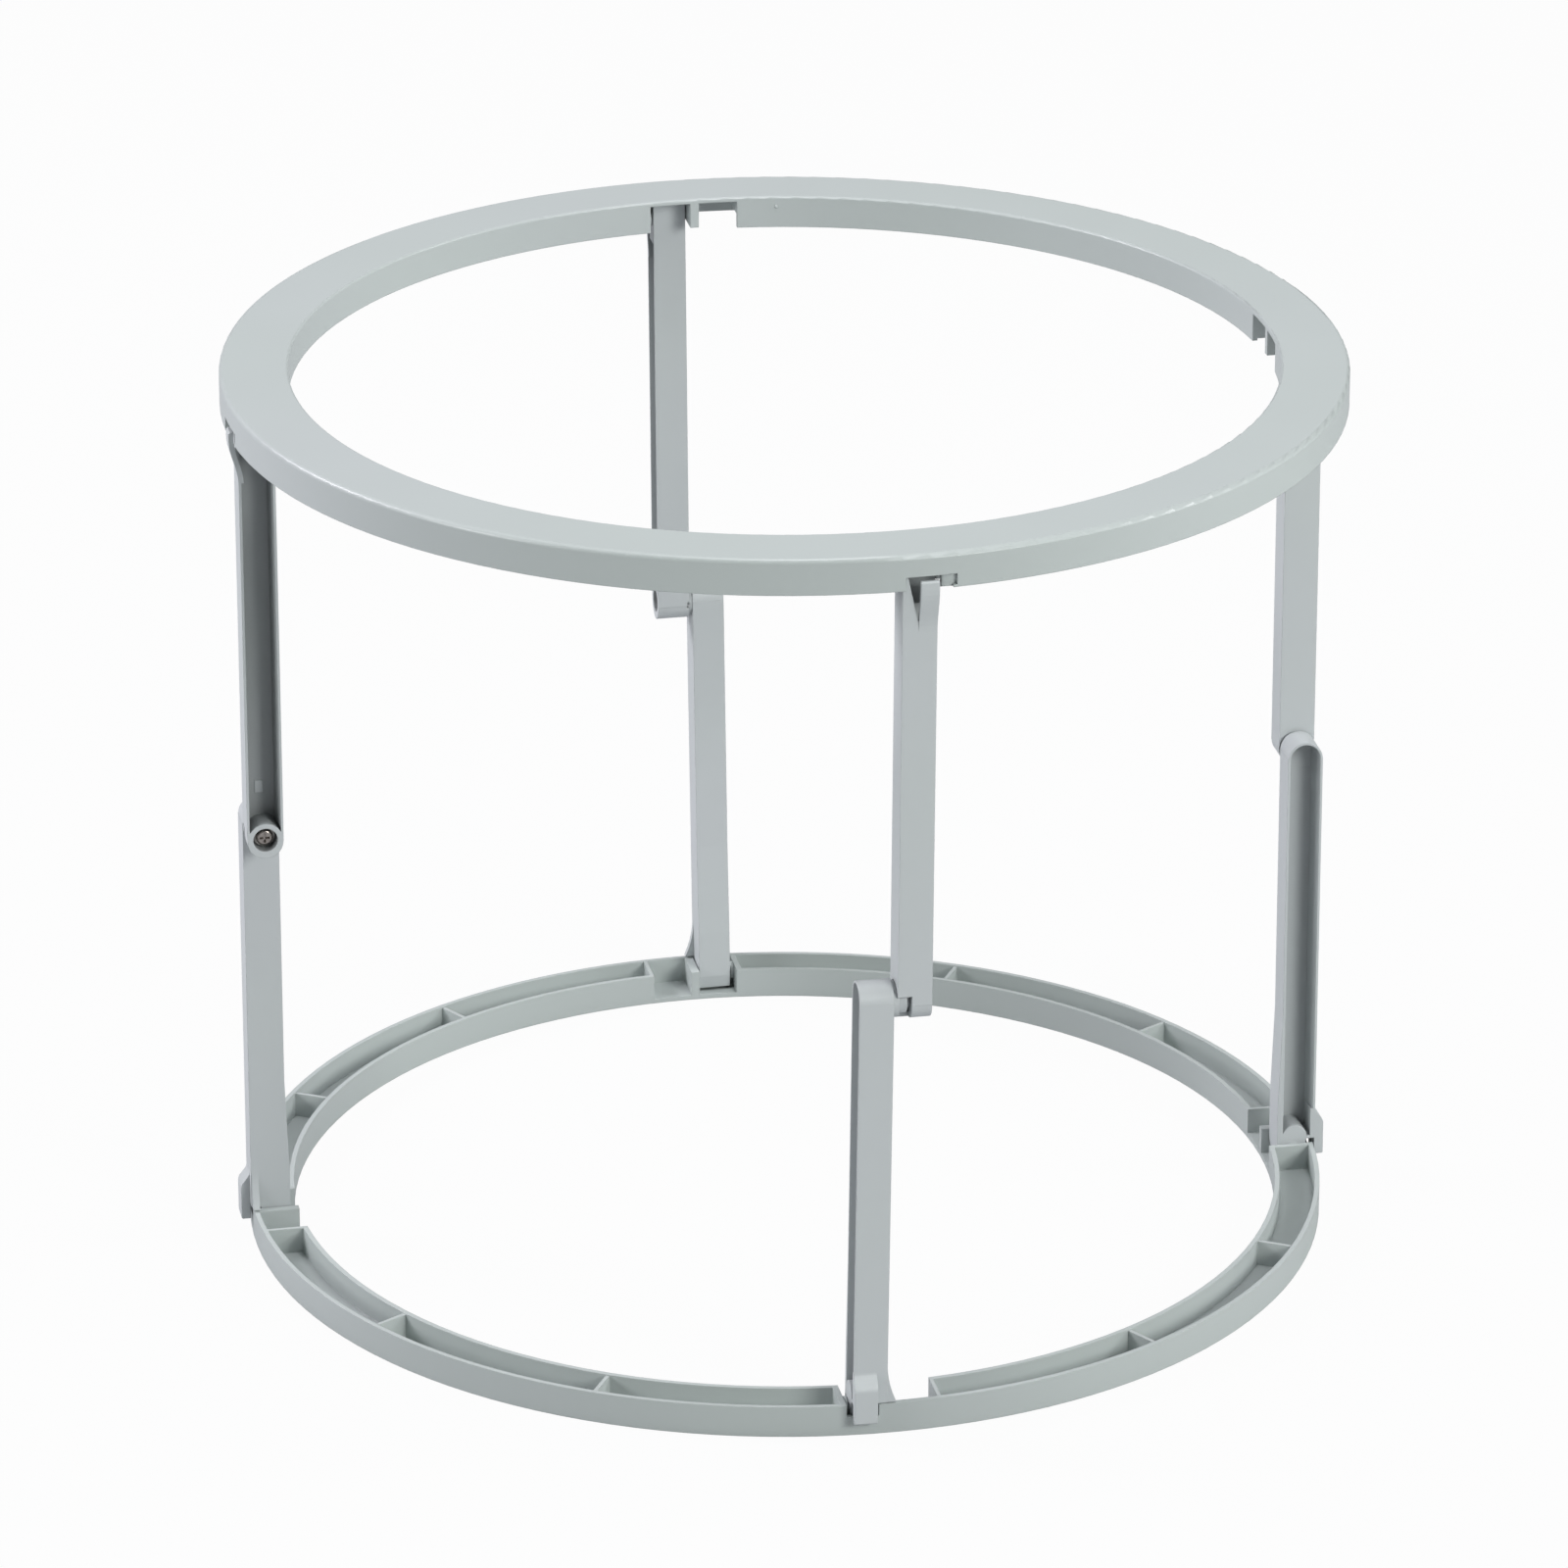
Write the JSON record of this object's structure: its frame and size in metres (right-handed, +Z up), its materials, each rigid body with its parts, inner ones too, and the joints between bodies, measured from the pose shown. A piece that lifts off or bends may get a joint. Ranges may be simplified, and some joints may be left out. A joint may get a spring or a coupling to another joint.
{
  "type": "folding ring stand",
  "caption": "Free-standing round stand: a flat-topped ring carried above a channel base ring by double-link legs that fold inwards at screwed knuckles.",
  "frame": {"origin": "centre of the rings, on the floor under the base ring", "axes": "+Z up along the rings' common axis, -Y towards the front leg, +X towards the right leg"},
  "size_m": [0.401, 0.401, 0.328],
  "materials": {
    "top_ring": "satin",
    "base_ring": "satin",
    "upper_link": "satin",
    "lower_link": "satin",
    "screw": "satin",
    "washer": "satin",
    "pin": "satin"
  },
  "bodies": {
    "base": {"base_ring": "base_ring", "front_base_pin": "pin", "right_base_pin": "pin", "back_base_pin": "pin", "left_base_pin": "pin"},
    "front_lower": {"front_lower_link": "lower_link", "front_knuckle_screw": "screw", "front_knuckle_washer": "washer"},
    "right_lower": {"right_lower_link": "lower_link", "right_knuckle_screw": "screw", "right_knuckle_washer": "washer"},
    "back_lower": {"back_lower_link": "lower_link", "back_knuckle_screw": "screw", "back_knuckle_washer": "washer"},
    "left_lower": {"left_lower_link": "lower_link", "left_knuckle_screw": "screw", "left_knuckle_washer": "washer"},
    "front_upper": {"front_upper_link": "upper_link"},
    "right_upper": {"right_upper_link": "upper_link"},
    "back_upper": {"back_upper_link": "upper_link"},
    "left_upper": {"left_upper_link": "upper_link"},
    "top": {"top_ring": "top_ring", "front_top_pin": "pin", "right_top_pin": "pin", "back_top_pin": "pin", "left_top_pin": "pin"}
  },
  "joints": [
    {"name": "front_fold", "type": "hinge", "parent": "base", "child": "front_lower", "pos_m": [0, -0.1884, 0.0078], "axis": [-1, 0, 0], "range_deg": [0, 89]},
    {"name": "right_fold", "type": "hinge", "parent": "base", "child": "right_lower", "pos_m": [0.1884, 0, 0.0078], "axis": [0, -1, 0], "range_deg": [0, 89]},
    {"name": "back_fold", "type": "hinge", "parent": "base", "child": "back_lower", "pos_m": [0, 0.1884, 0.0078], "axis": [1, 0, 0], "range_deg": [0, 89]},
    {"name": "left_fold", "type": "hinge", "parent": "base", "child": "left_lower", "pos_m": [-0.1884, 0, 0.0078], "axis": [0, 1, 0], "range_deg": [0, 89]},
    {"name": "front_knuckle", "type": "hinge", "parent": "front_lower", "child": "front_upper", "pos_m": [0, -0.19077, 0.16275], "axis": [-1, 0, 0], "range_deg": [-178, 0]},
    {"name": "right_knuckle", "type": "hinge", "parent": "right_lower", "child": "right_upper", "pos_m": [0.19077, 0, 0.16275], "axis": [0, -1, 0], "range_deg": [-178, 0]},
    {"name": "back_knuckle", "type": "hinge", "parent": "back_lower", "child": "back_upper", "pos_m": [0, 0.19077, 0.16275], "axis": [1, 0, 0], "range_deg": [-178, 0]},
    {"name": "left_knuckle", "type": "hinge", "parent": "left_lower", "child": "left_upper", "pos_m": [-0.19077, 0, 0.16275], "axis": [0, 1, 0], "range_deg": [-178, 0]},
    {"name": "top_ring_hinge", "type": "hinge", "parent": "front_upper", "child": "top", "pos_m": [0, -0.1884, 0.3177], "axis": [-1, 0, 0], "range_deg": [0, 89]}
  ],
  "couplings": [
    {"joint": "right_fold", "follows": "front_fold", "ratio": 1},
    {"joint": "back_fold", "follows": "front_fold", "ratio": 1},
    {"joint": "left_fold", "follows": "front_fold", "ratio": 1},
    {"joint": "front_knuckle", "follows": "front_fold", "ratio": -2},
    {"joint": "right_knuckle", "follows": "front_fold", "ratio": -2},
    {"joint": "back_knuckle", "follows": "front_fold", "ratio": -2},
    {"joint": "left_knuckle", "follows": "front_fold", "ratio": -2},
    {"joint": "top_ring_hinge", "follows": "front_fold", "ratio": 1}
  ]
}
